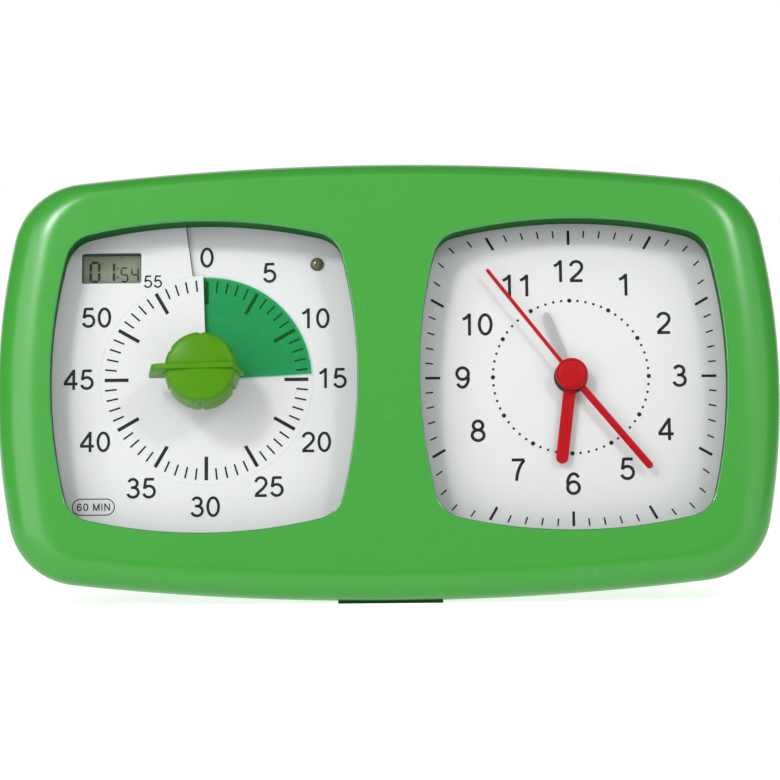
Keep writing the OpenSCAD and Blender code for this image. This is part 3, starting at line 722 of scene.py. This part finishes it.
# ---------------------------------------------------------------- timer knob
def knob():
    """The timer knob: a notched barrel with a domed front, crossed by a fin."""
    base, top = 5.2, 5.2 - KNOB_H
    side = ((0.9, base), (0.62, base - 0.25), (0.4, base - 0.8), (0.05, base - 2.0),
            (0.0, base - 2.9), (0.02, base - 4.2), (0.15, base - 7.0), (0.4, base - 10.0),
            (0.62, top + 4.0), (0.74, top + 3.0), (0.86, top + 2.3), (1.06, top + 1.85),
            (1.4, top + 1.5))
    prof = [(3.0, base)] + [(KNOB_R - taper, y) for taper, y in side]
    prof += [(r, top + 0.05 + 1.25 * (r / (KNOB_R - 1.5)) ** 2)
             for r in (10.6, 9.6, 8, 6.4, 4.8, 3.2, 1.6, 0)]
    notches, first = 6, 180 - SHOWN

    def notch(k, r, a):
        if not 1 <= k <= len(side):
            return r
        off = min(abs((math.degrees(a) - first - 360 / notches * j + 180) % 360 - 180)
                  for j in range(notches))
        s = r * math.radians(off)
        depth, half = (0.6, 0.9) if k < 10 else (0.55 - 0.1 * (k - 10), 0.85)
        return r - depth * (1 - (s / half) ** 2) ** 0.7 if s < half else r

    barrel, barrel_faces = lathe(prof, 288, mod=notch)
    k, foot = KNOB_R, base - 0.9
    edge = base - 0.6 - KNOB_H
    fin = [(-k * 1.45, foot), (-k * 1.445, base - 1.5), (-k * 1.29, edge + 1.5),
           (-k * 1.225, edge + 0.75), (-k * 1.175, edge + 0.25), (-k * 1.1, edge + 0.03),
           (-k * 0.5, edge), (0, edge), (k * 0.5, edge), (k * 0.78, edge + 0.03),
           (k * 0.86, edge + 0.25), (k * 0.91, edge + 0.8), (k * 0.97, edge + 2.6),
           (k * 1.10, base - 3.0), (k * 1.115, base - 1.6), (k * 1.115, foot)]
    half = 1.0                                             # half the fin's thickness
    rows = []
    for x0, draw_in in ((-half, 0.5), (-half + 0.06, 0.25), (-half + 0.2, 0.09),
                        (-half + 0.45, 0.0), (half - 0.45, 0.0), (half - 0.2, 0.09),
                        (half - 0.06, 0.25), (half, 0.5)):
        s = 1 - draw_in / 15
        rows.append([(px * s, min(py + draw_in, foot), x0) for px, py in fin])
    wing, wing_faces = loft(rows, True, True, True)
    turn = Matrix.Rotation(math.radians(SHOWN), 4, "Y")
    fin_turn = Matrix.Rotation(math.radians(SHOWN - 88), 4, "Y")
    place = FACE @ Matrix.Translation((-AX_X - 0.8, 0, AX_Z + 0.2))
    points, faces = join(([tuple(turn @ Vector(p)) for p in barrel], barrel_faces),
                         ([tuple(fin_turn @ Vector(p)) for p in wing], wing_faces))
    build("timer_knob_body", points, faces, KNOB, "knob", ("timer_knob",), 38, xf=place)


knob()

# ---------------------------------------------------------------- display and lamp
LCD_Y = 15.7
lcd_rim = [[(x, y, z) for x, z in
            round_box(*LCD_AT, LCD_HALF_X + 0.03 - s, LCD_HALF_Z + 0.03 - s, 0.7)]
           for s, y in ((0.0, 13.9), (0.12, 13.75), (0.38, 13.85), (0.42, 14.2), (0.42, LCD_Y))]
build("lcd_surround", *loft(lcd_rim), BLACK, "case")
pane = round_box(*LCD_AT, LCD_HALF_X - 0.05, LCD_HALF_Z - 0.05, 0.3)
build("lcd_pane", *slab(pane, LCD_Y, LCD_Y + 0.3), LCD, "case", ("lcd_panel",))
seg = Print(lambda x, z: LCD_Y - 0.03)


SEGMENTS = {"a": (0, 1, 1, 1), "b": (1, 1, 1, 0.5), "c": (1, 0.5, 1, 0), "d": (0, 0, 1, 0),
            "e": (0, 0.5, 0, 0), "f": (0, 1, 0, 0.5), "g": (0, 0.5, 1, 0.5)}


def seven(code, x, z, w, h, t):
    """One seven-segment figure with its lower left corner at x, z, and bars t wide."""
    for s in code:
        x0, z0, x1, z1 = SEGMENTS[s]
        a = Vector((x + x0 * w, z + z0 * h))
        b = Vector((x + x1 * w, z + z1 * h))
        d = (b - a).normalized()
        a, b = a + d * t * 0.62, b - d * t * 0.62
        side = Vector((-d.y, d.x)) * t / 2
        tip = d * t / 2
        seg.add([tuple(q) for q in (a - tip, a + side, b + side, b + tip, b - side, a - side)],
                [[0, 1, 2, 3, 4, 5]])


MINUTE = (3.0, 6.9, 0.98)                # width, height and bar of the minute figures
SECOND = (2.2, 4.9, 0.62)
FOOT_Z = LCD_Z - 4.2
seven("abcdef", LCD_X - 7.6, FOOT_Z, *MINUTE)
seven("bc", LCD_X - 2.4, FOOT_Z, *MINUTE)
seg.dot(LCD_X + 1.9, LCD_Z - 2.6, 0.36)
seg.dot(LCD_X + 1.9, LCD_Z + 0.5, 0.36)
seven("acdfg", LCD_X + 3.2, FOOT_Z, *SECOND)
seven("bcfg", LCD_X + 6.9, FOOT_Z, *SECOND)
seg.make("lcd_figures", SEG, "case", -AX_X)
LED_Y, LED_RISE = 13.95, 1.5             # where the lamp's dome starts, and its height
dome = [(LED_R * math.cos(math.radians(a)), LED_Y - LED_RISE * math.sin(math.radians(a)))
        for a in range(6, 91, 6)]
build("lamp_dome", *lathe([(2.6, 19), (2.6, 18), (LED_R, 18), (LED_R, LED_Y)] + dome, 64, *LED_AT),
      LED, "case", ("indicator_led",))


# ---------------------------------------------------------------- hands
def hand_profile(length, w, boss, n=14):
    """Outline of a hand pointing up: straight bar, round tip, round boss."""
    h = w / 2
    a0 = math.asin(min(1, h / boss))
    pts = []
    for i in range(n * 2 + 1):
        a = a0 + (2 * math.pi - 2 * a0) * i / (n * 2)
        pts.append((boss * math.sin(a), boss * math.cos(a)))
    pts.append((-h, length - h))
    for i in range(1, n):
        a = math.pi * i / n
        pts.append((-h * math.cos(a), length - h + h * math.sin(a)))
    return pts + [(h, length - h)]


def hand(name, node_name, body, length, w, boss, turn, y0, y1, mat, edge):
    """A flat hand between depths y0 and y1, turned clockwise by turn degrees."""
    place = (FACE @ Matrix.Translation((AX_X, 0, AX_Z))
             @ Matrix.Rotation(math.radians(turn), 4, "Y"))
    build(name, *slab(hand_profile(length, w, boss)[::-1], y0, y1, edge), mat, body,
          (node_name,), 40, xf=place)


hand("alarm_pointer", "alarm_hand", "alarm", 24.3, 2.1, 4.2, 339.4, 12.15, 12.55, SILVER, 0.12)
hand("hour_pointer", "hour_hand", "hour", 31.4, 4.3, 4.2, 187.3, 10.95, 11.4, RED, 0.16)
hand("minute_pointer", "minute_hand", "minute", 42.8, 2.5, 3.5, 140.6, 9.75, 10.2, RED, 0.14)
hand("second_pointer", "second_hand", "second", 47.7, 1.3, 2.4, 322.4, 8.95, 9.25, RED, 0.08)
cap_prof = [(0.6, 8.95), (5.4, 8.95), (5.57, 8.86), (5.62, 8.7), (5.62, 8.12), (5.56, 7.95),
            (5.42, 7.84), (5.22, 7.8), (5.06, 7.86), (4.98, 8.0), (4.86, 8.0), (4.76, 7.86),
            (4.6, 7.7), (4.3, 7.6), (3.5, 7.54), (1.5, 7.51), (0, 7.5)]
nut_prof = [(NOSE_R, DIAL_Y), (5.95, DIAL_Y), (5.95, DIAL_Y - 0.5), (5.75, DIAL_Y - 0.75),
            (NOSE_R, DIAL_Y - 0.75)]
build("movement_ring", *lathe(nut_prof, 72, AX_X, AX_Z), BLACK, "case", ("movement_nut",), 40)
build("hub_cap", *lathe(cap_prof, 96, AX_X, AX_Z), RED, "second", ("second_cap",), 50)

# ---------------------------------------------------------------- remaining nodes
for names, mat in (
    (("timer_lens", "clock_lens"), LENS),
    (("inner_frame", "disc_hub", "lcd_holder", "buzzer", "movement_case", "movement_cover"), BLACK),
    (("timer_spindle", "timer_motor", "battery_contacts"), STEEL),
    (("timer_housing", "timer_cover"), GREY),
    (("timer_wheel", "setting_wheel", "hour_wheel", "alarm_wheel", "alarm_pinion"), NYLON),
    (("motor_pinion", "minute_wheel", "second_wheel"), BRASS),
    (("circuit_board",), BOARD),
    (("movement_coil",), COPPER),
    (("front_foot",), FOOT),
    (("rear_foot",), RUBBER),
):
    for name in names:
        NODES[name].data.materials.clear()
        NODES[name].data.materials.append(mat)
refine("time_setter", "time_set_knob", BLACK, "setting", 35, 0.2)
refine("alarm_setter", "alarm_set_knob", BLACK, "alarm_setting", 35, 0.2)
refine("alarm_slide_key", "alarm_switch", SWITCH, "alarm_slider", 35, 0.15)
refine("volume_slide_key", "volume_switch", BLACK, "volume_slider", 35, 0.15)
refine("cell_upper", "battery_upper", SLEEVE, "case", 35, 0.1)
refine("cell_lower", "battery_lower", SLEEVE, "case", 35, 0.1)
refine("case_screw_set", "case_screws", STEEL, "case", 35, 0.1)
refine("frame_screw_set", "frame_screws", STEEL, "case", 35, 0.1)

# ---------------------------------------------------------------- floor, lights and camera
floor_mat, nt, out = material("floor")
p = node(nt, "ShaderNodeBsdfPrincipled", Roughness=0.9)
p.inputs["Base Color"].default_value = (0.45, 0.45, 0.45, 1)
p.inputs["Specular IOR Level"].default_value = 0.1
p.inputs["Emission Color"].default_value = (1, 1, 1, 1)
p.inputs["Emission Strength"].default_value = 0.82
nt.links.new(p.outputs["BSDF"], out.inputs["Surface"])
# Metres: the floor runs back, then bends up through a quarter circle to a wall.
FLOOR_FRONT, BEND_FROM, BEND_R, WALL_TOP, FLOOR_HALF = -3.2, 3.0, 1.2, 4.0, 5.0
rows = [(FLOOR_FRONT, 0.0)]
for k in range(25):
    a = math.pi / 2 * k / 24
    rows.append((BEND_FROM + BEND_R * math.sin(a), BEND_R * (1 - math.cos(a))))
rows.append((BEND_FROM + BEND_R, WALL_TOP))
me = bpy.data.meshes.new("floor")
me.from_pydata([(x, y, z) for y, z in rows for x in (-FLOOR_HALF, FLOOR_HALF)], [],
               [[2 * i, 2 * i + 1, 2 * i + 3, 2 * i + 2] for i in range(len(rows) - 1)])
for q in me.polygons:
    q.use_smooth = True
floor = bpy.data.objects.new("floor", me)
bpy.context.scene.collection.objects.link(floor)
me.materials.append(floor_mat)

world = bpy.data.worlds.new("studio")
bpy.context.scene.world = world
world.use_nodes = True
bg = world.node_tree.nodes["Background"]
bg.inputs[0].default_value = (1, 1, 1, 1)
bg.inputs[1].default_value = 0.12
AIM = Vector((0, 0, 0.075))              # the middle of the case


def softbox(name, at, size_x, size_y, watts):
    """A rectangular lamp at a place in metres, turned to the case."""
    lamp = bpy.data.lights.new(name, "AREA")
    lamp.shape = "RECTANGLE"
    lamp.size, lamp.size_y = size_x, size_y
    lamp.energy = watts
    ob = bpy.data.objects.new(name, lamp)
    ob.location = at
    ob.rotation_euler = (AIM - Vector(at)).to_track_quat("-Z", "Y").to_euler()
    bpy.context.scene.collection.objects.link(ob)


softbox("left_box", (-0.80, -0.74, 0.34), 0.75, 1.0, 7.6)
softbox("right_box", (0.95, -0.70, 0.30), 0.8, 0.9, 3.4)
softbox("top_box", (0.0, -0.62, 1.05), 1.2, 0.5, 1.9)
softbox("front_panel", (0.0, -1.55, 0.80), 1.9, 0.7, 2.0)
softbox("left_key", (-0.62, -1.00, 0.92), 0.22, 0.22, 7.2)
softbox("right_key", (0.66, -1.00, 0.86), 0.22, 0.22, 4.2)

target = FACE @ Vector((0.4, 0, -4.3))
HEIGHT_ANGLE, ROLL = math.radians(1.0), math.radians(-0.5)
DISTANCE, FIELD, SENSOR = 1.03, 0.2689, 36.0    # metres, width seen at the target, millimetres
cam_data = bpy.data.cameras.new("camera")
cam_data.sensor_width = SENSOR
cam_data.lens = SENSOR / FIELD * DISTANCE
cam_data.clip_start = 0.05
cam_data.clip_end = 50
cam = bpy.data.objects.new("camera", cam_data)
bpy.context.scene.collection.objects.link(cam)
cam.location = target + Vector((0, -math.cos(HEIGHT_ANGLE), math.sin(HEIGHT_ANGLE))) * DISTANCE
look = (target - cam.location).to_track_quat("-Z", "Y").to_matrix().to_4x4()
cam.rotation_euler = (look @ Matrix.Rotation(ROLL, 4, "Z")).to_euler()
bpy.context.scene.camera = cam
bpy.context.scene.view_settings.view_transform = "Standard"
